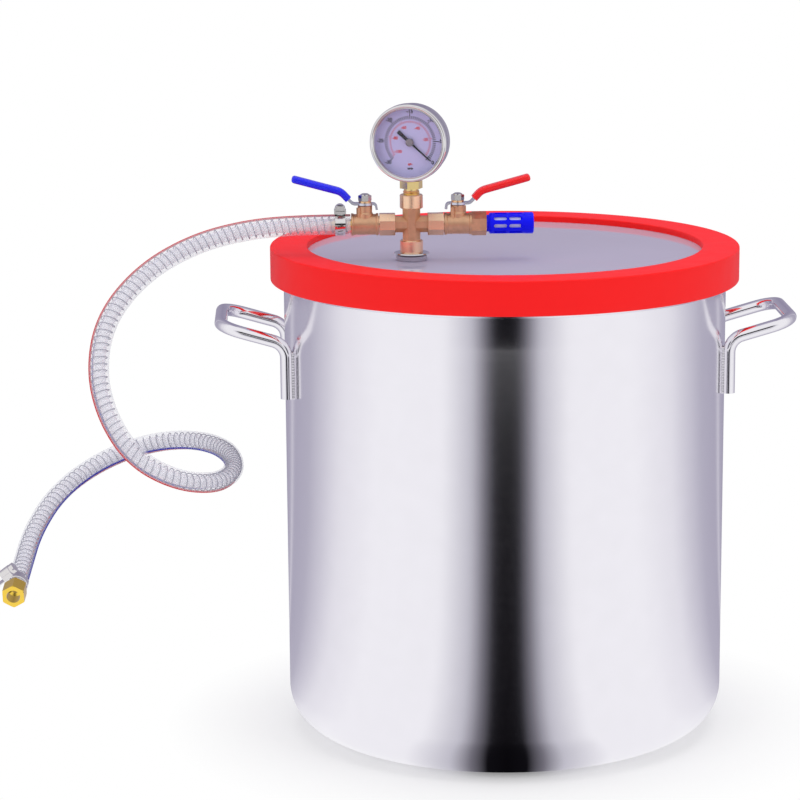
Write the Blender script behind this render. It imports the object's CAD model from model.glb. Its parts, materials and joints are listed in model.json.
"""Vacuum chamber: surfaces, finishes, hose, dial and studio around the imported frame.

Sizes are metres in the row's frame.  Classes are in the order in which main() builds them.
"""
import json
import logging
import math
from dataclasses import dataclass
from enum import Enum
from itertools import accumulate

import bmesh
import bpy
import numpy as np
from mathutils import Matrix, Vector


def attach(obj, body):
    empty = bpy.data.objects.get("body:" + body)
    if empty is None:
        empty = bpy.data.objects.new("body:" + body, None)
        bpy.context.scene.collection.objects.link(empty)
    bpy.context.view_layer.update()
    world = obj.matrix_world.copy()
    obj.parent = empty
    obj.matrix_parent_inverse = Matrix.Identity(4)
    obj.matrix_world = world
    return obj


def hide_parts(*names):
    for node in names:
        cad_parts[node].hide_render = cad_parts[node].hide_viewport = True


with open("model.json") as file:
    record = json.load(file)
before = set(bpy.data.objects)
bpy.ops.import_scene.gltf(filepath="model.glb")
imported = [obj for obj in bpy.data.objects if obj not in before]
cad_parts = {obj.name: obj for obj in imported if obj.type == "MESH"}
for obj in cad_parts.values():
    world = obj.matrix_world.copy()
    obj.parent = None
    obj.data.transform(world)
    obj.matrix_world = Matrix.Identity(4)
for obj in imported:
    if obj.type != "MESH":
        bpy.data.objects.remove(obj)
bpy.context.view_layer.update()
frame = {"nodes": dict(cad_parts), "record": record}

logging.basicConfig(level=logging.INFO, format="%(message)s")
log = logging.getLogger("vacuum_chamber")

Triple = tuple[float, float, float]
Pair = tuple[float, float]
Surface = tuple[np.ndarray, np.ndarray]          # points, and the faces' corner numbers
Socket = bpy.types.NodeSocket

MM = 0.001
TAU = 2 * math.pi
CLOSED = 1e-6                                    # a radius so small that it closes a tube's end

LID_BODY = "lid_unit"
POT_BODY = "pot"
STEM = np.array([-76.5, -47.8, 418.3]) * MM      # crossing of the manifold's two bores
GAUGE_CENTRE = np.array([-76.5, -47.8, 482.6]) * MM
GAUGE_TURN = math.radians(-14.0)


class Grain(Enum):
    """What the fine relief of a finish looks like."""

    SMOOTH = "smooth"
    BRUSHED_ROUND = "brushed round the vertical axis"
    MOULDED = "moulded"
    FELT = "felt"


CLOUD_CELLS = 60.0               # cells to the metre in a finish's broad changes of tone and gloss
GLOSS_SWING = 0.15               # how far roughness strays either way, as a share of itself
BRUSH_CELLS = (6.0, 6.0, 2600.0)
BRUSH_SWING = 0.4
RELIEF = {                       # cells to the metre, detail, and share of the grain's depth
    Grain.SMOOTH: (900.0, 2.0, 0.25),
    Grain.MOULDED: (320.0, 2.0, 1.0),
    Grain.FELT: (4200.0, 6.0, 1.0),
}


# ---- materials
def linear(colour: Triple) -> tuple[float, float, float, float]:
    """Turn an 8-bit display colour into the linear colour that a shader takes.

    Args:
        colour: red, green and blue from 0 to 255.

    Returns:
        Linear red, green, blue and an alpha of one.
    """
    part = np.array(colour, float) / 255
    low, high = part / 12.92, ((part + 0.055) / 1.055) ** 2.4
    return (*np.where(part <= 0.04045, low, high).tolist(), 1.0)


class Shading:
    """One material's node tree, put together socket by socket."""

    def __init__(self, name: str) -> None:
        """Start a material with a Principled surface and Object coordinates."""
        self.material = bpy.data.materials.new(name)
        self.material.use_nodes = True
        self.tree = self.material.node_tree
        self.tree.nodes.clear()
        self.output = self.tree.nodes.new("ShaderNodeOutputMaterial")
        self.surface = self.tree.nodes.new("ShaderNodeBsdfPrincipled")
        self.tree.links.new(self.surface.outputs[0], self.output.inputs["Surface"])
        self.place = self.tree.nodes.new("ShaderNodeTexCoord").outputs["Object"]

    def set(self, **values: object) -> "Shading":
        """Set sockets of the Principled surface; underscores stand for spaces."""
        for key, value in values.items():
            socket = self.surface.inputs[key.replace("_", " ")]
            if isinstance(value, Socket):
                self.tree.links.new(value, socket)
            else:
                socket.default_value = value
        return self

    def node(self, kind: str, inputs: dict, **settings: object) -> bpy.types.Node:
        """Add a node.

        Args:
            kind: the node's type, without its ShaderNode prefix.
            inputs: socket name or number to a value or another node's socket.
            settings: properties of the node itself.

        Returns:
            The new node.
        """
        made = self.tree.nodes.new("ShaderNode" + kind)
        for key, value in settings.items():
            setattr(made, key, value)
        for key, value in inputs.items():
            if isinstance(value, Socket):
                self.tree.links.new(value, made.inputs[key])
            else:
                made.inputs[key].default_value = value
        return made

    def stretched(self, scale: Triple) -> Socket:
        """Object coordinates multiplied by one factor along each axis."""
        return self.node("Mapping", {"Vector": self.place, "Scale": scale}).outputs[0]

    def noise(self, scale: float, detail: float = 3.0, vector: object = None) -> Socket:
        """Smooth noise from 0 to 1, `scale` cells to the metre."""
        source = self.place if vector is None else vector
        inputs = {"Vector": source, "Scale": scale, "Detail": detail}
        return self.node("TexNoise", inputs).outputs["Fac"]

    def between(self, value: object, low: float, high: float) -> Socket:
        """Map a value of 0 to 1 onto the range low to high."""
        inputs = {"Value": value, "To Min": low, "To Max": high}
        return self.node("MapRange", inputs).outputs[0]

    def rise(self, value: object, start: float, end: float) -> Socket:
        """Zero at start and one at end, straight between."""
        return self.node("MapRange", {"Value": value, "From Min": start, "From Max": end}).outputs[0]

    def blend(self, factor: object, first: object, second: object) -> Socket:
        """Mix two colours by a factor."""
        made = self.node("Mix", {0: factor, 6: first, 7: second}, data_type="RGBA")
        return made.outputs[2]

    def maths(self, operation: str, first: object, second: object = 0.0) -> Socket:
        """One arithmetic step on two numbers."""
        return self.node("Math", {0: first, 1: second}, operation=operation).outputs[0]

    def relief(self, height: object, depth: float) -> "Shading":
        """Raise the surface's normal by a height field, `depth` metres deep."""
        made = self.node("Bump", {"Height": height, "Distance": depth, "Strength": 1.0})
        self.tree.links.new(made.outputs[0], self.surface.inputs["Normal"])
        return self


@dataclass(frozen=True)
class Finish:
    """A surface finish: its colour, how it shines and how its relief runs."""

    name: str
    colour: Triple
    metallic: float = 0.0
    roughness: float = 0.4
    grain: Grain = Grain.SMOOTH
    grain_depth: float = 0.00002
    tone_spread: float = 0.06       # how far the colour strays, as a share of itself
    coat: float = 0.0
    specular: float = 0.5

    def toned(self, factor: float) -> tuple[float, float, float, float]:
        """The linear colour, made darker or lighter by a factor."""
        red, green, blue, _ = linear(self.colour)
        return (min(red * factor, 1.0), min(green * factor, 1.0), min(blue * factor, 1.0), 1.0)

    def material(self) -> bpy.types.Material:
        """Build the finish as a material.

        Returns:
            The material, with its tone, roughness and relief from noise.
        """
        shading = Shading(self.name)
        cloud = shading.noise(CLOUD_CELLS, 4.0)
        shading.set(Base_Color=self.clouded(shading, cloud), Metallic=self.metallic,
                    Coat_Weight=self.coat, Specular_IOR_Level=self.specular)
        shading.set(Roughness=self.uneven(shading, cloud, GLOSS_SWING))
        self.roughen(shading)
        return shading.material

    def clouded(self, shading: Shading, cloud: Socket) -> Socket:
        """The colour, straying either way by the tone's spread."""
        return shading.blend(cloud, self.toned(1 - self.tone_spread), self.toned(1 + self.tone_spread))

    def uneven(self, shading: Shading, cloud: Socket, swing: float) -> Socket:
        """The roughness, straying either way by a share of itself."""
        return shading.between(cloud, self.roughness * (1 - swing), self.roughness * (1 + swing))

    def roughen(self, shading: Shading) -> None:
        """Add the relief and the fine marks of the grain.

        Args:
            shading: the material that takes them.
        """
        if self.grain is Grain.BRUSHED_ROUND:
            lines = shading.noise(1.0, 5.0, shading.stretched(BRUSH_CELLS))
            shading.relief(lines, self.grain_depth)
            shading.set(Roughness=self.uneven(shading, lines, BRUSH_SWING))
        else:
            cells, detail, share = RELIEF[self.grain]
            shading.relief(shading.noise(cells, detail), self.grain_depth * share)


@dataclass(frozen=True)
class CastBronze(Finish):
    """Sand-cast bronze whose port collars are machined brighter than the rough arms."""

    machined: Triple = (255, 216, 182)
    machined_roughness: float = 0.27
    dulling: float = 0.86            # tone between the lathe's lines
    tones: Pair = (0.85, 1.3)        # darkest and lightest of the rough arms
    rough: Pair = (0.40, 0.52)
    side_reach: Pair = (0.0131, 0.0256)   # the side collars, from the stem
    up_reach: float = 0.0120         # where the upright collars begin

    def material(self) -> bpy.types.Material:
        """Build the bronze.

        Returns:
            A material that is rough and brown on the arms, and smooth and bright on the collars.
        """
        shading = Shading(self.name)
        apart = shading.node("SeparateXYZ", {0: shading.place}).outputs
        side, up = (shading.maths("ABSOLUTE", shading.maths("SUBTRACT", apart[k], float(STEM[k])))
                    for k in (0, 2))
        near, far = self.side_reach
        past_arm = shading.maths("GREATER_THAN", side, near)
        on_side = shading.maths("MULTIPLY", past_arm, shading.maths("LESS_THAN", side, far))
        over_arm = shading.maths("GREATER_THAN", up, self.up_reach)
        on_top = shading.maths("MULTIPLY", over_arm, shading.maths("LESS_THAN", side, near))
        turned = shading.maths("MAXIMUM", on_side, on_top)
        cloud = shading.noise(240.0, 5.0)
        rough_tone = shading.blend(cloud, *(self.toned(factor) for factor in self.tones))
        bright = linear(self.machined)
        dull = tuple(part * self.dulling for part in bright[:3]) + (1.0,)
        lathe_lines = shading.noise(1.0, 2.0, shading.stretched((3000.0, 40.0, 40.0)))
        bright_tone = shading.blend(lathe_lines, dull, bright)
        shading.set(Base_Color=shading.blend(turned, rough_tone, bright_tone), Metallic=self.metallic)
        sides = {0: turned, 2: shading.between(cloud, *self.rough), 3: self.machined_roughness}
        shading.set(Roughness=shading.node("Mix", sides).outputs[0])
        pits = shading.noise(1700.0, 4.0)
        still = shading.maths("MULTIPLY", shading.maths("SUBTRACT", 1.0, turned), pits)
        return shading.relief(still, self.grain_depth).material


@dataclass(frozen=True)
class ClearPlastic(Finish):
    """Clear or smoky plastic or glass that light goes through."""

    tone_spread: float = 0.02
    see_through: float = 0.5         # share of light that passes straight on
    ior: float = 1.5

    def material(self) -> bpy.types.Material:
        """Build the clear plastic.

        Returns:
            A thin see-through material with a plain gloss.
        """
        shading = Shading(self.name)
        cloud = shading.noise(25.0, 2.0)
        shading.set(Base_Color=self.clouded(shading, cloud), Roughness=self.roughness,
                    Alpha=1 - self.see_through, IOR=self.ior)
        shading.relief(shading.noise(40.0, 1.0), self.grain_depth)
        shading.material.surface_render_method = "BLENDED"
        return shading.material


FINISHES = {finish.name: finish for finish in (
    Finish("pot_steel", (243, 241, 246), 1.0, 0.15, Grain.BRUSHED_ROUND, 0.000003, 0.02),
    Finish("handle_steel", (240, 238, 242), 1.0, 0.09, grain_depth=0.00001, tone_spread=0.02),
    Finish("gasket_silicone", (255, 8, 10), 0.0, 0.5, Grain.MOULDED, 0.00004, 0.02, specular=0.3),
    ClearPlastic("lid_acrylic", (213, 205, 228), 0.0, 0.02, grain_depth=0.000001, see_through=0.2,
                 ior=2.3),
    Finish("brass", (240, 200, 156), 1.0, 0.28),
    ClearPlastic("seal_rubber", (186, 178, 196), 0.0, 0.3, tone_spread=0.05, see_through=0.3),
    Finish("washer_steel", (214, 213, 216), 1.0, 0.12),
    Finish("nut_steel", (210, 208, 206), 1.0, 0.14),
    CastBronze("cast_bronze", (214, 170, 136), 1.0, grain_depth=0.00006),
    Finish("yellow_brass", (238, 214, 148), 1.0, 0.22),
    Finish("gauge_chrome", (226, 224, 224), 1.0, 0.08),
    ClearPlastic("gauge_glass", (225, 225, 250), 0.0, 0.02, grain_depth=0.000001, tone_spread=0.01,
                 see_through=0.96),
    Finish("dial_enamel", (196, 191, 236), 0.0, 0.5, tone_spread=0.015),
    Finish("needle_black", (6, 6, 8), 0.0, 0.6, specular=0.1),
    Finish("tube_bronze", (200, 140, 90), 1.0, 0.3),
    Finish("movement_brass", (210, 180, 110), 1.0, 0.3),
    Finish("seat_ptfe", (238, 238, 234), 0.0, 0.45, Grain.MOULDED),
    Finish("ball_chrome", (225, 225, 228), 1.0, 0.06),
    Finish("lever_steel", (206, 208, 222), 1.0, 0.2),
    Finish("blue_vinyl", (8, 16, 236), 0.0, 0.3, Grain.MOULDED, coat=0.15),
    Finish("red_vinyl", (244, 8, 16), 0.0, 0.3, Grain.MOULDED, coat=0.15),
    Finish("filter_blue", (0, 8, 255), 0.0, 0.45, Grain.MOULDED, specular=0.2),
    Finish("filter_white", (236, 240, 255), 0.0, 0.7, Grain.FELT, 0.0001),
    ClearPlastic("hose_pvc", (246, 246, 255), 0.0, 0.12, grain_depth=0.00003, see_through=0.70),
    ClearPlastic("hose_bore", (250, 249, 255), 0.0, 0.2, grain_depth=0.00003, see_through=0.34),
    Finish("polished_brass", (252, 212, 86), 1.0, 0.16),
    Finish("clamp_steel", (226, 223, 222), 1.0, 0.15),
    Finish("hose_red", (206, 2, 16), 0.0, 0.35),
    Finish("hose_blue", (2, 10, 160), 0.0, 0.35),
    Finish("hose_wire", (128, 128, 146), 0.3, 0.35),
    Finish("dial_red", (214, 34, 40), 0.0, 0.5),
    Finish("hub_grey", (136, 128, 132), 0.6, 0.4),
)}


class Paintbox:
    """Makes each finish's material once and hands it out."""

    def __init__(self) -> None:
        """Start with no material made."""
        self.made: dict[str, bpy.types.Material] = {}

    def get(self, name: str) -> bpy.types.Material:
        """The material of a named finish."""
        if name not in self.made:
            self.made[name] = FINISHES[name].material()
        return self.made[name]

    def dress_frame(self) -> None:
        """Give every CAD node the finish of its own material slot."""
        for part in frame["record"]["subparts"]:
            node = frame["nodes"][part["node"]]
            for place in node.material_slots:
                place.material = self.get(part["material_slot"])


PAINT = Paintbox()


# ---- surfaces
def quads(rows: int, columns: int, close_rows: bool, close_columns: bool) -> np.ndarray:
    """Corner numbers of the four-sided faces on a grid of points.

    Args:
        rows: number of rows of points.
        columns: number of points in a row.
        close_rows: whether the last row joins the first.
        close_columns: whether each row's last point joins its first.

    Returns:
        An array with four corner numbers to a face.
    """
    row = np.arange(rows if close_rows else rows - 1)[:, None]
    column = np.arange(columns if close_columns else columns - 1)[None, :]
    next_row, next_column = (row + 1) % rows, (column + 1) % columns
    corners = [row * columns + column, row * columns + next_column,
               next_row * columns + next_column, next_row * columns + column]
    return np.stack([c.ravel() for c in np.broadcast_arrays(*corners)], axis=1)


def linked(name: str, data: bpy.types.ID) -> bpy.types.Object:
    """Make an object of some data and link it to the scene."""
    made = bpy.data.objects.new(name, data)
    bpy.context.scene.collection.objects.link(made)
    return made


def piece(name: str, points: np.ndarray, faces: np.ndarray, finish: str, body: str,
          sharp: float = 40.0, outward: bool = True) -> bpy.types.Object:
    """Make a finished mesh piece that rides on a body.

    Args:
        name: the piece's name.
        points: one row of x, y and z to a point.
        faces: one row of corner numbers to a face, all rows the same length.
        finish: name of the finish.
        body: the CAD body that carries the piece.
        sharp: angle in degrees past which an edge is left sharp.
        outward: whether the faces are turned outwards after the poles are merged.

    Returns:
        The new object.
    """
    mesh = bpy.data.meshes.new(name)
    mesh.vertices.add(len(points))
    mesh.vertices.foreach_set("co", np.asarray(points, np.float32).ravel())
    sides = faces.shape[1]
    mesh.loops.add(faces.size)
    mesh.loops.foreach_set("vertex_index", faces.astype(np.int32).ravel())
    mesh.polygons.add(len(faces))
    mesh.polygons.foreach_set("loop_start", np.arange(0, faces.size, sides, dtype=np.int32))
    mesh.update(calc_edges=True)
    mesh.validate()
    work = bmesh.new()
    work.from_mesh(mesh)
    bmesh.ops.remove_doubles(work, verts=work.verts, dist=1e-7)
    bmesh.ops.dissolve_degenerate(work, edges=work.edges, dist=1e-8)
    if outward:
        bmesh.ops.recalc_face_normals(work, faces=work.faces)
    work.to_mesh(mesh)
    work.free()
    mesh.polygons.foreach_set("use_smooth", np.ones(len(mesh.polygons), bool))
    mesh.set_sharp_from_angle(angle=math.radians(sharp))
    made = linked(name, mesh)
    mesh.materials.append(PAINT.get(finish))
    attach(made, body)
    log.info("%s: %d faces on %s", name, len(mesh.polygons), body)
    return made


def arc(centre: Pair, radius: float, start: float, end: float, steps: int) -> np.ndarray:
    """Points of a circular arc in the plane: centre + radius * (cos a, sin a), a in degrees."""
    angle = np.radians(np.linspace(start, end, steps))
    return np.stack([centre[0] + radius * np.cos(angle), centre[1] + radius * np.sin(angle)], axis=1)


def turned(profile: np.ndarray, segments: int) -> Surface:
    """Turn an outline about the vertical axis: (r cos t, r sin t, z) for each r, z and angle t.

    Args:
        profile: rows of radius and height in millimetres, a closed loop.
        segments: steps round the axis.

    Returns:
        Points in metres, and the faces on them.
    """
    angle = np.arange(segments) * TAU / segments
    radius, height = profile[:, :1] * MM, profile[:, 1:] * MM
    points = np.stack([radius * np.cos(angle), radius * np.sin(angle),
                       np.broadcast_to(height, (len(profile), segments))], axis=-1)
    return points.reshape(-1, 3), quads(len(profile), segments, True, True)


def rounded_path(corners: np.ndarray, radii: list[float], steps: int = 12) -> np.ndarray:
    """Straight runs with a tangent arc at each inner corner.

    Each arc is the circle through the two points that lie radius * tan(turn / 2) from the
    corner: centre + radius * (cos a * u + sin a * v) for a from zero to the turn.

    Args:
        corners: rows of x, y and z.
        radii: one radius for each inner corner.
        steps: points on each arc.

    Returns:
        The path's points.
    """
    rows = [corners[:1]]
    for before, corner, after, radius in zip(corners, corners[1:], corners[2:], radii):
        way_in = (corner - before) / np.linalg.norm(corner - before)
        way_out = (after - corner) / np.linalg.norm(after - corner)
        turn = math.acos(float(np.clip(way_in @ way_out, -1, 1)))
        inward = way_out - way_in * (way_in @ way_out)
        inward = inward / np.linalg.norm(inward)
        first = corner - way_in * radius * math.tan(turn / 2)
        angle = np.linspace(0, turn, steps)[:, None]
        rows.append(first + radius * inward - radius * (np.cos(angle) * inward - np.sin(angle) * way_in))
    rows.append(corners[-1:])
    return np.concatenate(rows)


@dataclass
class Path:
    """A line in space with a frame at each point that doesn't spin about the line."""

    points: np.ndarray
    first_side: Triple

    def __post_init__(self) -> None:
        """Work out distances, tangents and the two side directions at every point."""
        steps = np.linalg.norm(np.diff(self.points, axis=0), axis=1)
        self.along = np.concatenate([[0.0], np.cumsum(steps)])
        tangent = np.gradient(self.points, self.along, axis=0)
        self.tangent = tangent / np.linalg.norm(tangent, axis=1, keepdims=True)

        def carry(side: np.ndarray, tangent_here: np.ndarray) -> np.ndarray:
            """Take a side direction on to the next point, square to its tangent."""
            flat = side - tangent_here * (side @ tangent_here)
            return flat / np.linalg.norm(flat)

        start = carry(np.array(self.first_side, float), self.tangent[0])
        self.side = np.array(list(accumulate(self.tangent[1:], carry, initial=start)))
        self.cross = np.cross(self.tangent, self.side)

    def length(self) -> float:
        """Length of the line."""
        return float(self.along[-1])

    def at(self, distance: np.ndarray) -> "Path":
        """The same line and frames, read at other distances along it."""
        other = object.__new__(Path)
        other.along = distance
        for name in ("points", "tangent", "side", "cross"):
            rows = getattr(self, name)
            read = np.stack([np.interp(distance, self.along, rows[:, k]) for k in range(3)], axis=1)
            if name != "points":
                read = read / np.linalg.norm(read, axis=1, keepdims=True)
            setattr(other, name, read)
        return other

    def around(self, radius: object, angle: np.ndarray) -> np.ndarray:
        """Points at a radius and an angle about the line: p + r (cos a * side + sin a * cross).

        Args:
            radius: one radius, or one for each point of the line.
            angle: one angle for each point, or an array of points by angles.

        Returns:
            One point to an angle.
        """
        angle = np.asarray(angle)
        if angle.ndim == 1:
            angle = angle[:, None]
        reach = np.broadcast_to(np.asarray(radius, float).reshape(-1, 1), angle.shape)[..., None]
        angle = angle[..., None]
        spoke = np.cos(angle) * self.side[:, None] + np.sin(angle) * self.cross[:, None]
        return self.points[:, None] + reach * spoke

    def tube(self, radius: object, sides: int) -> Surface:
        """A round tube about the line, open at its ends: around() at even angles.

        Args:
            radius: one radius, or one for each point of the line.
            sides: number of points in a ring.

        Returns:
            Points, and the faces on them.
        """
        angle = np.broadcast_to(np.arange(sides) * TAU / sides, (len(self.points), sides))
        points = self.around(radius, angle)
        return points.reshape(-1, 3), quads(len(self.points), sides, False, True)


def joined(*parts: Surface) -> Surface:
    """Put several point and face arrays together as one."""
    starts = np.cumsum([0] + [len(points) for points, _ in parts[:-1]])
    points = np.concatenate([points for points, _ in parts])
    faces = np.concatenate([faces + start for (_, faces), start in zip(parts, starts)])
    return points, faces


THREAD_ROWS, THREAD_SIDES = 12, 48               # rings to a pitch, and points to a ring


def threaded(axis_point: np.ndarray, axis: Triple, radius: float, length: float,
             depth: float = 0.75, pitch: float = 1.41) -> Surface:
    """A screw thread: radius - depth * |2 f - 1|, f being the fraction of (z / pitch - t / turn).

    Args:
        axis_point: where the thread starts.
        axis: unit direction of the thread.
        radius: crest radius in millimetres.
        length: length in millimetres.
        depth: depth of the thread in millimetres.
        pitch: distance between crests in millimetres.

    Returns:
        Points in metres, and the faces on them.
    """
    way = np.array(axis, float)
    helper = np.array([1.0, 0, 0]) if abs(way[0]) < 0.9 else np.array([0, 1.0, 0])
    side = np.cross(way, helper)
    side = side / np.linalg.norm(side)
    cross = np.cross(way, side)
    height = np.linspace(0, length, int(length / pitch * THREAD_ROWS) + 1)[:, None]
    angle = np.arange(THREAD_SIDES) * TAU / THREAD_SIDES
    share = (height / pitch - angle / TAU) % 1.0
    ends = np.clip(np.minimum(height, length - height) / pitch, 0, 1)
    reach = (radius - depth * (1 - ends * (1 - np.abs(2 * share - 1)))) * MM
    spoke = np.cos(angle)[:, None] * side + np.sin(angle)[:, None] * cross
    points = axis_point + reach[..., None] * spoke + (height * MM)[..., None] * way
    return points.reshape(-1, 3), quads(len(height), THREAD_SIDES, False, True)


# ---- studio
@dataclass
class Studio:
    """Camera, floor, world and lamps: everything that isn't part of the object."""

    azimuth: float = -4.0
    elevation: float = 13.05
    distance: float = 2.485
    target: Triple = (0.0, 0.0, 0.2)
    lens: float = 137.25
    shift: Pair = (-0.131, 0.1008)
    floor_reach: float = 14.0
    floor_level: float = -0.0005
    white_from: Pair = (0.10, 0.28)   # distances over which the floor turns plain white
    fill: float = 0.62                # the world's plain light
    flag_turn: float = 0.012          # how far the flag is turned from the camera's side
    flag_reach: Pair = (3.1, 2.7)     # its shade on the floor is gone, and is full, at these distances
    flag: tuple = ((0.0, (10, 9, 12)), (0.032, (16, 15, 19)), (0.058, (120, 118, 126)),
                   (0.092, (206, 205, 212)), (0.17, (255, 255, 255)))
    flag_height: Pair = (0.42, 0.30)  # sines of the heights where it is gone, and is full
    backdrop: tuple = ((0.0, (248, 248, 250)), (0.36, (250, 250, 252)), (0.495, (236, 235, 240)),
                       (0.565, (212, 210, 220)), (0.645, (185, 182, 197)), (0.76, (174, 170, 188)),
                       (0.785, (214, 211, 221)), (0.81, (174, 170, 188)), (1.0, (150, 144, 168)))
    lamp_set: tuple = (("lamp_left", (-2.2, -1.9, 1.7), 1.8, 17.0),      # name, place, width, power
                       ("lamp_right", (2.3, -1.7, 1.6), 1.8, 17.0),
                       ("lamp_top", (0.1, 0.3, 2.6), 2.2, 26.0))
    lamp_aim: Triple = (0.0, 0.0, 0.25)

    def build(self) -> None:
        """Make the camera, the floor, the world and the lamps."""
        self.camera()
        self.floor()
        self.world()
        self.lamps()

    def camera(self) -> None:
        """Place the camera on its sphere about the target."""
        data = bpy.data.cameras.new("camera")
        data.sensor_width, data.lens = 36.0, self.lens
        data.shift_x, data.shift_y = self.shift
        data.clip_end = 100.0
        made = linked("camera", data)
        turn, rise = math.radians(self.azimuth), math.radians(self.elevation)
        level = math.cos(rise)
        back = Vector((math.sin(turn) * level, -math.cos(turn) * level, math.sin(rise)))
        made.location = Vector(self.target) + back * self.distance
        made.rotation_mode = "QUATERNION"
        made.rotation_quaternion = (-back).to_track_quat("-Z", "Y")
        bpy.context.scene.camera = made

    def mirrored(self, shading: Shading, flag_share: Socket) -> Socket:
        """What polished metal sees: white in front, lavender behind, and a dark flag ahead.

        Args:
            shading: the node tree to build in; its place is a position or a direction.
            flag_share: how much of the flag shows, from 0 to 1.

        Returns:
            The colour seen in each bearing about the vertical axis.
        """
        share = self.turn_from_flag(shading)
        colours = {6: self.ramp(shading, share, self.backdrop), 7: self.ramp(shading, share, self.flag)}
        made = shading.node("Mix", {0: flag_share, **colours}, data_type="RGBA", blend_type="MULTIPLY")
        return made.outputs[2]

    def turn_from_flag(self, shading: Shading) -> Socket:
        """Bearing off the middle of the flag, as a share of half a turn."""
        apart = shading.node("SeparateXYZ", {0: shading.place}).outputs
        ahead = shading.maths("MULTIPLY", apart[1], -1.0)
        bearing = shading.maths("ARCTAN2", apart[0], ahead)
        middle = math.radians(self.azimuth) + self.flag_turn
        off = shading.maths("ABSOLUTE", shading.maths("SUBTRACT", bearing, middle))
        return shading.maths("DIVIDE", off, math.pi)

    def seen_by(self, shading: Shading, plain: Socket, white: str, fade: object,
                mirror: Socket) -> Socket:
        """Plain to light, white to the camera and clear pieces, and the surroundings to metal.

        Args:
            shading: the node tree to build in.
            plain: the shader that lights the object.
            white: the kind of node that makes a plain glow there.
            fade: how white the camera sees it, from 0 to 1.
            mirror: the colour that polished metal sees.

        Returns:
            The shader for all three.
        """
        path = shading.node("LightPath", {}).outputs
        glow = shading.node(white, {"Color": (1, 1, 1, 1), "Strength": 1.0}).outputs[0]
        seen = shading.node(white, {"Color": mirror}).outputs[0]
        look = shading.maths("MAXIMUM", path["Is Camera Ray"], path["Is Transmission Ray"])
        share = shading.maths("MULTIPLY", fade, look)
        first = shading.node("MixShader", {0: share, 1: plain, 2: glow}).outputs[0]
        return shading.node("MixShader", {0: path["Is Glossy Ray"], 1: first, 2: seen}).outputs[0]

    def ramp(self, shading: Shading, share: Socket, stops: tuple) -> Socket:
        """A smooth run of colours over a share of 0 to 1."""
        ramp = shading.node("ValToRGB", {0: share})
        elements = ramp.color_ramp.elements
        for number, (spot, colour) in enumerate(stops):
            stop = elements[number] if number < 2 else elements.new(spot)
            stop.position = spot
            stop.color = linear(colour)
        return ramp.outputs[0]

    def floor(self) -> None:
        """A wide pale floor that keeps the shadow near the object and fades to white far off."""
        mesh = bpy.data.meshes.new("floor")
        ways = ((-1, -1), (1, -1), (1, 1), (-1, 1))
        corners = [(x * self.floor_reach, y * self.floor_reach, self.floor_level) for x, y in ways]
        mesh.from_pydata(corners, [], [(0, 1, 2, 3)])
        made = linked("floor", mesh)
        shading = Shading("floor_paper")
        tone = shading.blend(shading.noise(3.0), linear((249, 249, 250)), linear((252, 252, 253)))
        shading.set(Base_Color=tone, Roughness=1.0, Specular_IOR_Level=0.0)
        apart = shading.node("SeparateXYZ", {0: shading.place}).outputs
        flat = shading.node("CombineXYZ", {0: apart[0], 1: apart[1]}).outputs[0]
        far = shading.node("VectorMath", {0: flat}, operation="LENGTH").outputs["Value"]
        fade = shading.rise(far, *self.white_from)
        mirror = self.mirrored(shading, shading.rise(far, *self.flag_reach))
        shader = self.seen_by(shading, shading.surface.outputs[0], "Emission", fade, mirror)
        shading.tree.links.new(shader, shading.output.inputs["Surface"])
        mesh.materials.append(shading.material)

    def world(self) -> None:
        """A plain white world, lavender behind for polished metal only."""
        world = bpy.data.worlds.new("studio")
        bpy.context.scene.world = world
        world.use_nodes = True
        shading = object.__new__(Shading)
        shading.tree = world.node_tree
        shading.tree.nodes.clear()
        shading.place = shading.tree.nodes.new("ShaderNodeTexCoord").outputs["Generated"]
        even = shading.node("Background", {"Color": linear((250, 249, 253)), "Strength": self.fill})
        height = shading.node("SeparateXYZ", {0: shading.place}).outputs[2]
        mirror = self.mirrored(shading, shading.rise(height, *self.flag_height))
        shader = self.seen_by(shading, even.outputs[0], "Background", 1.0, mirror)
        output = shading.tree.nodes.new("ShaderNodeOutputWorld")
        shading.tree.links.new(shader, output.inputs["Surface"])

    def lamps(self) -> None:
        """Three wide soft lamps: one on each side in front, and one overhead."""
        for name, place, width, power in self.lamp_set:
            data = bpy.data.lights.new(name, "AREA")
            data.shape, data.size, data.energy = "SQUARE", width, power
            made = linked(name, data)
            made.location = place
            made.rotation_mode = "QUATERNION"
            way = Vector(self.lamp_aim) - Vector(place)
            made.rotation_quaternion = way.to_track_quat("-Z", "Y")
            made.visible_camera = False
            made.visible_glossy = False


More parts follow.
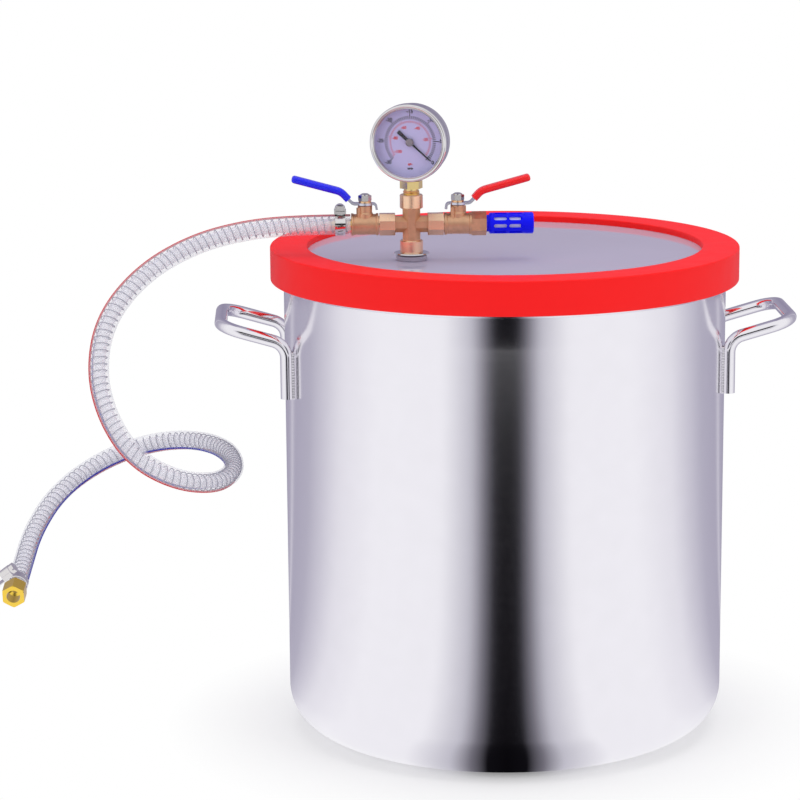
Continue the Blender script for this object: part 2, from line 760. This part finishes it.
# ---- hose
@dataclass
class SuctionHose:
    """Clear PVC hose with a steel helix in its wall and two coloured marking lines."""

    length: float = 0.80
    outside: float = 0.0155
    bore: float = 0.0095
    helix_radius: float = 0.0062
    wire_radius: float = 0.00042
    pitch: float = 0.0055
    red_line: float = math.radians(15)
    blue_line: float = math.radians(75)
    line_radius: float = 0.0009
    line_depth: float = 0.0072       # from the hose's axis to the middle of a marking line
    rings: int = 700                 # along the bore and the marking lines
    bore_sides: int = 28
    line_sides: int = 10
    wire_sides: int = 6
    wire_rings: int = 20             # to a turn of the helix
    wire_margin: float = 0.002       # the wire stops this far short of each end
    lip_inset: float = 0.0001        # the flat end stops this far short of the outside

    def route(self) -> np.ndarray:
        """The points that the hose is led past, from the pump valve to its free end."""
        points = [(-124.1, -47.8, 418.3), (-160, -47.8, 418.3), (-204, -50, 415.5), (-247, -55, 405),
                  (-286, -67, 384), (-314, -84, 352), (-321, -104, 315), (-312, -121, 281),
                  (-292, -131, 252), (-261, -129, 234), (-231, -107, 226), (-216, -69, 228),
                  (-223, -19, 234), (-251, 17, 235), (-290, 33, 229), (-331, 24, 215),
                  (-362, -7, 197), (-379, -46, 175), (-384.5, -84, 157), (-386.5, -120, 149.5)]
        return np.array(points) * MM

    def build(self) -> None:
        wall = self.wall()
        line = self.centreline(wall)
        even = line.at(np.linspace(0, line.length(), self.rings))
        extras = [self.inside(even), self.helix(line),
                  self.marking(even, "hose_line_red", "hose_red", self.red_line),
                  self.marking(even, "hose_line_blue", "hose_blue", self.blue_line)]
        on_hose = [frame["nodes"][name] for name in
                   ("end_fitting", "end_clamp_band", "end_clamp_housing", "end_clamp_screw")]
        for made in [wall, *extras, *on_hose]:
            made.visible_glossy = False
        log.info("hose: %.0f mm along its line", line.length() / MM)

    def wall(self) -> bpy.types.Object:
        """The outer surface, as a round NURBS spline past the route's points.

        Returns:
            The curve object.
        """
        data = bpy.data.curves.new("hose_wall", "CURVE")
        data.dimensions = "3D"
        data.bevel_depth = 1.0                   # times the radius that each point carries
        data.bevel_resolution = 8
        spline = data.splines.new("NURBS")
        route = self.route()
        spline.points.add(len(route) - 1)
        spline.points.foreach_set("co", np.column_stack([route, np.ones(len(route))]).ravel())
        spline.points.foreach_set("radius", np.full(len(route), self.outside / 2))
        spline.order_u = 3
        spline.use_endpoint_u = True
        spline.resolution_u = 16
        data.materials.append(PAINT.get("hose_pvc"))
        made = linked("hose_wall", data)
        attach(made, LID_BODY)
        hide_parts("hose")
        return made

    def centreline(self, wall: bpy.types.Object) -> Path:
        """The spline's own line, read from the curve with its bevel off."""
        depth, wall.data.bevel_depth = wall.data.bevel_depth, 0.0
        bpy.context.view_layer.update()
        mesh = bpy.data.meshes.new_from_object(wall)
        points = np.zeros(len(mesh.vertices) * 3)
        mesh.vertices.foreach_get("co", points)
        bpy.data.meshes.remove(mesh)
        wall.data.bevel_depth = depth
        return Path(points.reshape(-1, 3), (0, 0, 1))

    def inside(self, line: Path) -> bpy.types.Object:
        """The bore's surface, with a flat lip out to the wall at each end."""
        parts = [line.tube(self.bore / 2, self.bore_sides)]
        angle = np.arange(self.bore_sides)[:, None] * TAU / self.bore_sides
        for end in (0, -1):
            spoke = np.cos(angle) * line.side[end] + np.sin(angle) * line.cross[end]
            reaches = (self.bore / 2, self.outside / 2 - self.lip_inset)
            rings = np.concatenate([line.points[end] + reach * spoke for reach in reaches])
            parts.append((rings, quads(2, self.bore_sides, False, True)))
        made = piece("hose_bore", *joined(*parts), "hose_bore", LID_BODY, outward=False)
        return made

    def helix(self, line: Path) -> bpy.types.Object:
        """The wire: a round section carried along p + r (cos w s * side + sin w s * cross)."""
        distance = np.arange(self.wire_margin, line.length() - self.wire_margin,
                             self.pitch / self.wire_rings)
        there = line.at(distance)
        coil = there.around(self.helix_radius, distance * TAU / self.pitch)[:, 0]
        wire = Path(coil, tuple(there.side[0]))
        surface = wire.tube(self.wire_radius, self.wire_sides)
        made = piece("hose_wire", *surface, "hose_wire", LID_BODY)
        return made

    def marking(self, line: Path, name: str, finish: str, angle: float) -> bpy.types.Object:
        """A coloured thread moulded into the wall's skin, at one angle round the hose."""
        centre = line.around(self.line_depth, np.full(len(line.points), angle))[:, 0]
        thread = Path(centre, tuple(line.side[0])).tube(self.line_radius, self.line_sides)
        return piece(name, *thread, finish, LID_BODY)


# ---- pot and handles
@dataclass
class Pot:
    """Drawn steel pot with a rolled rim; millimetres, as the outlines are."""

    radius: float = 177.0
    wall: float = 1.5
    base: float = 3.0
    corner: float = 34.0
    rim: float = 372.2
    bead: float = 3.5
    low: float = 60.0                # where the straight wall's even rings start
    flats: Pair = (60.0, 120.0)      # rings on the flat base
    steps: int = 256

    def outline(self) -> np.ndarray:
        """Closed outline: under the base, up the outside, over the bead, and down the inside."""
        inner, bend = self.radius - self.wall, self.radius - self.corner
        outer_corner = arc((bend, self.corner), self.corner, -90, 0, 24)
        inner_bend = self.corner - self.wall
        inner_corner = arc((bend, self.base + inner_bend), inner_bend, 0, -90, 24)
        neck = [(self.radius, z) for z in np.linspace(self.low, self.rim - 2 * self.bead - 1, 14)]
        roll = arc((inner + self.bead, self.rim - self.bead), self.bead, -115, 180, 30)
        down = [(inner, z) for z in np.linspace(self.rim - self.bead - 2, self.low, 8)]
        under = [(0.0, 0.0), *((flat, 0.0) for flat in self.flats)]
        above = [(radius, self.base) for radius, _ in under[::-1]]
        return np.concatenate([under, outer_corner, neck, roll, down, inner_corner, above])

    def build(self) -> None:
        """Make the pot's shell."""
        made = piece("pot_shell", *turned(self.outline(), self.steps), "pot_steel", POT_BODY, sharp=50)
        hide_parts("pot")


@dataclass
class Handle:
    """Bent round bar with two legs welded to the pot; millimetres."""

    node: str
    side: int
    bar: float = 5.0
    leg_half: float = 46.0
    seat: float = 181.6
    foot: float = 280.0
    elbow: float = 323.4
    reach: float = 227.0
    slope: float = 16.0
    foot_bend: float = 14.0
    grip_bend: float = 18.0
    rings: int = 90
    sides: int = 36
    weld: float = 0.80               # radius of a weld
    weld_ripple: float = 0.05        # depth of its ripples
    weld_wave: float = 2.9           # their wave, in radians to the millimetre
    weld_sides: int = 10
    weld_rings: int = 70
    weld_back: float = 4.3           # from the leg's middle towards the pot
    weld_aside: float = 2.9
    weld_ends: Pair = (0.6, 6.0)     # below the foot and below the elbow

    def corners(self) -> np.ndarray:
        """Corner points of the bar's line, from one foot to the other."""
        leg = math.sqrt(self.seat ** 2 - self.leg_half ** 2)
        top = self.elbow + (self.reach - leg) * math.tan(math.radians(self.slope))
        half = np.array([(leg, self.foot), (leg, self.elbow), (self.reach, top)])
        near = np.column_stack([self.side * half[:, 0], np.full(3, -self.leg_half), half[:, 1]])
        return np.concatenate([near, near[::-1] * (1, -1, 1)])

    def build(self) -> None:
        """Make the bar with its flat feet, and the weld along each leg."""
        corners = self.corners()
        bends = [self.foot_bend, self.grip_bend, self.grip_bend, self.foot_bend]
        line = Path(rounded_path(corners, bends) * MM, (self.side, 0, 0))
        even = np.linspace(0, line.length(), self.rings)
        stations = np.concatenate([[0], np.unique(np.concatenate([line.along, even])), [line.length()]])
        radii = np.full(len(stations), self.bar * MM)
        radii[[0, -1]] = CLOSED
        bar = line.at(stations).tube(radii, self.sides)
        made = piece(self.node + "_bar", *bar, "handle_steel", POT_BODY)
        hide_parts(self.node)
        beads = [self.bead(corners[end], way) for end in (0, -1) for way in (-1, 1)]
        weld = piece(self.node + "_weld", *joined(*beads), "handle_steel", POT_BODY, sharp=80)

    def bead(self, foot: np.ndarray, way: int) -> Surface:
        """A thin weld with faint ripples, in the groove between the leg and the wall.

        Args:
            foot: the leg's lower end.
            way: which of the leg's two sides the weld is on.

        Returns:
            The weld's points and faces.
        """
        outward = np.array([foot[0], foot[1], 0]) / math.hypot(foot[0], foot[1])
        beside = np.array([-outward[1], outward[0], 0]) * way
        low, high = self.foot - self.weld_ends[0], self.elbow - self.weld_ends[1]
        height = np.linspace(low, high, self.weld_rings)
        centre = outward * (self.seat - self.weld_back) + beside * self.weld_aside
        points = np.column_stack([np.tile(centre[:2], (self.weld_rings, 1)), height]) * MM
        ripple = (self.weld + self.weld_ripple * np.sin(height * self.weld_wave)) * MM
        ripple[[0, -1]] = CLOSED
        return Path(points, (1, 0, 0)).tube(ripple, self.weld_sides)


@dataclass
class Gasket:
    """Moulded silicone ring, channel-shaped, that grips the lid's edge; millimetres."""

    outside: float = 187.5
    top: float = 395.0
    foot: float = 368.0
    seat: float = 372.5
    skirt: float = 183.0
    lip: float = 158.0
    under_lip: float = 163.0
    lid_radius: float = 182.3
    lid_under: float = 375.0
    lid_top: float = 390.0
    play: float = 0.02               # between the ring and the lid
    edge: float = 1.0                # rounding of the foot and the lip
    shoulder: float = 1.4
    band: float = 9.0                # plain height above the foot and below the shoulder
    land: float = 8.0                # flat top that each rounding leaves
    steps: int = 256

    def build(self) -> None:
        """Make the ring, with rounded shoulders where the mould rounds them."""
        outside, top, edge, shoulder = self.outside, self.top, self.edge, self.shoulder
        over, under = self.lid_top + self.play, self.lid_under - self.play
        outline = np.concatenate([
            [(self.skirt, self.foot)],
            arc((outside - edge, self.foot + edge), edge, -90, 0, 6),
            [(outside, self.foot + self.band), (outside, top - self.band)],
            arc((outside - shoulder, top - shoulder), shoulder, 0, 90, 8),
            [(outside - self.land, top), (self.lip + self.land, top)],
            arc((self.lip + edge, top - edge), edge, 90, 180, 6),
            [(self.lip, over), (self.lid_radius, over), (self.lid_radius, under)],
            [(self.under_lip, under), (self.under_lip, self.seat), (self.skirt, self.seat)],
        ])
        made = piece("gasket_ring", *turned(outline, self.steps), "gasket_silicone", LID_BODY, sharp=35)
        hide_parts("gasket")


# ---- gauge
@dataclass(frozen=True)
class Scale:
    """One printed scale of the dial; millimetres from the dial's middle."""

    name: str
    divisions: int
    long_every: int
    inner: float                     # radius where the marks start
    short: float
    long: float
    width: float
    span: float                      # how far round the marks go, in degrees
    top: int                         # the number at the scale's end
    number_step: int
    number_radius: float
    number_height: float
    number_name: str
    finish: str
    slot: str


@dataclass
class DialFace:
    """Printed scales of the vacuum gauge; angles in degrees from the dial's right."""

    zero: float = -41.5
    sweep: float = 264.0
    print_depth: float = 2.86        # millimetres in front of the gauge's middle plane
    ink: float = 0.05
    bold: float = 0.12               # how far the strokes of a character are thickened
    kpa_share: float = 100 / 101.6   # 100 kPa as a share of 30 inches of mercury

    def axes(self) -> tuple[np.ndarray, np.ndarray, np.ndarray]:
        """Directions across, up and out of the dial."""
        across = np.array([math.cos(GAUGE_TURN), math.sin(GAUGE_TURN), 0])
        facing = np.array([math.sin(GAUGE_TURN), -math.cos(GAUGE_TURN), 0])
        return across, np.array([0, 0, 1.0]), facing

    def placed(self, flat: np.ndarray) -> np.ndarray:
        """Take points on the dial (millimetres, x across, y up, z out) into the row's frame."""
        return GAUGE_CENTRE + flat @ np.array(self.axes()) * MM

    def bars(self, angle: np.ndarray, start: np.ndarray, end: np.ndarray, width: float, back: float,
             front: float) -> Surface:
        """Raised bars that point at the dial's middle: start or end, either side, back or front.

        Args:
            angle: each bar's angle in radians.
            start: each bar's nearer end.
            end: each bar's farther end.
            width: width across.
            back: depth of the back.
            front: depth of the front.

        Returns:
            Points in the row's frame, and the faces on them.
        """
        along = np.stack([start, end, end, start] * 2, axis=1)
        half = width / 2 * np.array([-1, -1, 1, 1] * 2)
        angle = angle[:, None]
        x = along * np.cos(angle) - half * np.sin(angle)
        y = along * np.sin(angle) + half * np.cos(angle)
        lift = np.broadcast_to(np.repeat([back, front], 4), x.shape)
        box = np.array([(0, 1, 2, 3), (4, 7, 6, 5), (0, 4, 5, 1), (1, 5, 6, 2), (2, 6, 7, 3),
                        (3, 7, 4, 0)])
        faces = (box + 8 * np.arange(len(angle))[:, None, None]).reshape(-1, 4)
        return self.placed(np.stack([x, y, lift], axis=-1).reshape(-1, 3)), faces

    def ticks(self, scale: Scale) -> None:
        """A ring of scale marks, longer at every so many, each a thin raised bar."""
        step = np.arange(scale.divisions + 1)
        angle = np.radians(self.zero + scale.span * step / scale.divisions)
        end = scale.inner + np.where(step % scale.long_every == 0, scale.long, scale.short)
        marks = self.bars(angle, np.full(len(step), scale.inner), end, scale.width, self.print_depth,
                          self.print_depth + self.ink)
        piece(scale.name, *marks, scale.finish, LID_BODY)

    def label(self, name: str, words: str, radius: float, angle: float, height: float, finish: str) -> None:
        """Print upright characters centred at a radius and an angle on the dial."""
        data = bpy.data.curves.new(name, "FONT")
        data.body, data.size = words, height
        data.align_x, data.align_y = "CENTER", "CENTER"
        data.extrude, data.offset = self.ink / 2, self.bold
        text = linked(name + "_text", data)
        bpy.context.view_layer.update()
        mesh = bpy.data.meshes.new_from_object(text)
        bpy.data.objects.remove(text)
        flat = np.zeros(len(mesh.vertices) * 3)
        mesh.vertices.foreach_get("co", flat)
        centre = radius * np.array([math.cos(math.radians(angle)), math.sin(math.radians(angle)), 0])
        flat = flat.reshape(-1, 3) + centre + (0, 0, self.print_depth + self.ink / 2)
        mesh.vertices.foreach_set("co", self.placed(flat).astype(np.float32).ravel())
        mesh.update()
        made = linked(name, mesh)
        mesh.materials.clear()
        mesh.materials.append(PAINT.get(finish))
        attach(made, LID_BODY)

    def scales(self) -> list[Scale]:
        """The outer scale in inches of mercury, and the inner one in kilopascals."""
        inches = Scale("scale_black", divisions=60, long_every=10, inner=17.8, short=2.6, long=4.2,
                       width=0.58, span=self.sweep, top=30, number_step=5, number_radius=23.7,
                       number_height=3.9, number_name="inch", finish="needle_black", slot="needle_black")
        kilos = Scale("scale_red", divisions=50, long_every=10, inner=15.0, short=1.6, long=2.6,
                      width=0.48, span=self.sweep * self.kpa_share, top=100, number_step=20,
                      number_radius=12.2, number_height=3.2, number_name="kilo", finish="dial_red",
                      slot="red_vinyl")
        return [inches, kilos]

    def build(self) -> None:
        """Print both scales, their numbers and their units."""
        black, red = self.scales()
        self.ticks(black)
        self.ticks(red)
        for scale, first in ((black, 0), (red, red.number_step)):
            for number in range(first, scale.top + 1, scale.number_step):
                angle = self.zero + scale.span * number / scale.top
                words = f"-{number}" if number else "0"
                self.label(f"{scale.number_name}_{number}", words, scale.number_radius, angle,
                           scale.number_height, scale.finish)
        self.label("unit_inch", "inHg", 20.6, -90, 2.3, "needle_black")
        self.label("unit_kilo", "kPa", 17.4, -90, 2.5, "dial_red")


@dataclass
class GaugeTrim:
    """Bezel, needle details and thread of the gauge; millimetres along the dial's facing."""

    hub_radius: float = 3.1
    hub_back: float = 4.9
    hub_front: float = 6.3
    bezel_radius: float = 30.3
    bezel_back: float = 3.0
    bezel_front: float = 12.0
    opening: float = 26.2
    case_radius: float = 29.2
    bead: float = 1.5                # radius of the bezel's rolled edge
    groove: float = 3.0              # from the edge in to the groove
    chamfer: float = 0.5
    cross_bar: Pair = (3.4, 0.7)     # length and width of the bar near the needle's tip
    cross_at: float = 18.3
    cross_lift: Pair = (4.0, 4.85)
    thread_start: float = 441.4
    thread_radius: float = 6.7
    thread_length: float = 3.6

    def bezel_outline(self) -> np.ndarray:
        """A rolled outer bead, a groove, and a flange that slopes in to the glass."""
        bead, radius, front = self.bead, self.bezel_radius, self.bezel_front
        groove = radius - self.groove
        return np.concatenate([
            [(self.case_radius, self.bezel_back), (radius - 0.3, self.bezel_back)],
            [(radius, self.bezel_back + 0.4)],
            arc((radius - bead, front - bead), bead, 0, 165, 14),
            [(groove, front - 1.0), (groove - 0.5, front - 0.5)],
            [(self.opening + 0.2, front - 1.3), (self.opening, front - 1.6)],
            [(self.opening, front - 2.2), (self.case_radius, self.bezel_back + 5)],
        ])

    def hub_outline(self) -> np.ndarray:
        """A flat cap with a chamfered front edge."""
        back, front, radius = self.hub_back, self.hub_front, self.hub_radius
        return np.array([(0, back), (radius, back), (radius, front - self.chamfer),
                         (radius - self.chamfer, front), (0, front)])

    def build(self) -> None:
        """Make the bezel, the needle's hub cap and cross bar, and the thread under the hexagon."""
        face = DialFace()
        points, faces = turned(self.bezel_outline(), 160)
        bezel = piece("bezel_ring", face.placed(points / MM), faces, "gauge_chrome", LID_BODY)
        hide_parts("gauge_bezel")
        points, faces = turned(self.hub_outline(), 40)
        made = piece("needle_hub", face.placed(points / MM), faces, "hub_grey", "needle")
        length, width = self.cross_bar
        ends = self.cross_at + np.array([[-0.5], [0.5]]) * width
        bar = face.bars(np.radians([face.zero]), *ends, length, *self.cross_lift)
        piece("needle_bar", *bar, "needle_black", "needle")
        thread = threaded(np.array([*STEM[:2], self.thread_start * MM]), (0, 0, 1), self.thread_radius,
                          self.thread_length)
        piece("gauge_thread", *thread, "brass", LID_BODY, outward=False)


# ---- lid nipple
@dataclass
class NippleThread:
    """The thread that shows where the nipple ends under the lid; millimetres."""

    crest: float = 6.62
    start: float = 362.2
    length: float = 2.4
    depth: float = 0.5

    def build(self) -> None:
        """Cut the thread on the nipple's lower end."""
        low = np.array([*STEM[:2], self.start * MM])
        thread = threaded(low, (0, 0, 1), self.crest, self.length, self.depth)
        piece("nipple_thread", *thread, "brass", LID_BODY, outward=False)


def main() -> None:
    """Build the studio first, then the object from the hose inwards."""
    bpy.context.scene.view_settings.view_transform = "Standard"
    Studio().build()
    SuctionHose().build()
    PAINT.dress_frame()
    makers = (Pot(), Handle("handle_left", -1), Handle("handle_right", 1), Gasket(), DialFace(),
              GaugeTrim(), NippleThread())
    for maker in makers:
        log.info("building %s", type(maker).__name__)
        maker.build()


if __name__ == "__main__":
    main()
